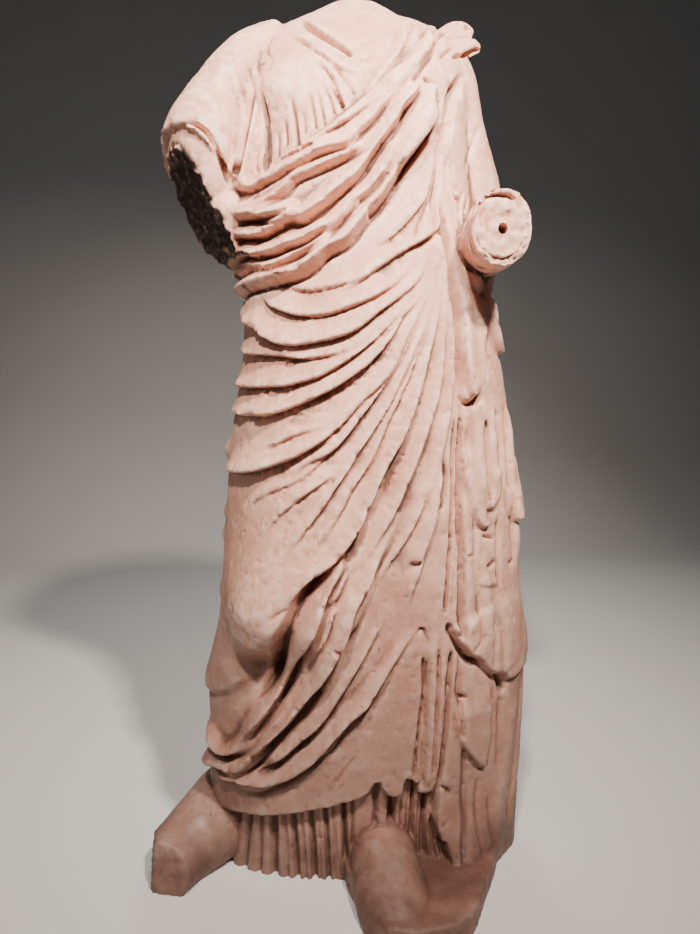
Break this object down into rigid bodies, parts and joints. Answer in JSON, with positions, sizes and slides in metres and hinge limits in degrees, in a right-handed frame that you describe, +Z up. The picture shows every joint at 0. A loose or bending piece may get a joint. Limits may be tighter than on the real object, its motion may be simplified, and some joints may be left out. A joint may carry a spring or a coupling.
{
  "type": "draped marble statue",
  "caption": "Life-size standing draped figure in stone, head and forearms broken away, carved in one block with a scrap of plinth under the forward foot.",
  "frame": {"origin": "centre of the outline's bounding box at the underside, on the ground", "axes": "+Z up along the figure's height, -Y is the way the figure faces, +X is the figure's own left"},
  "size_m": [0.6632, 0.5051, 1.4819],
  "materials": {
    "marble": "worn carved marble, matt, with warm patina in the hollows"
  },
  "bodies": {
    "root": {"statue": "marble"}
  },
  "joints": []
}
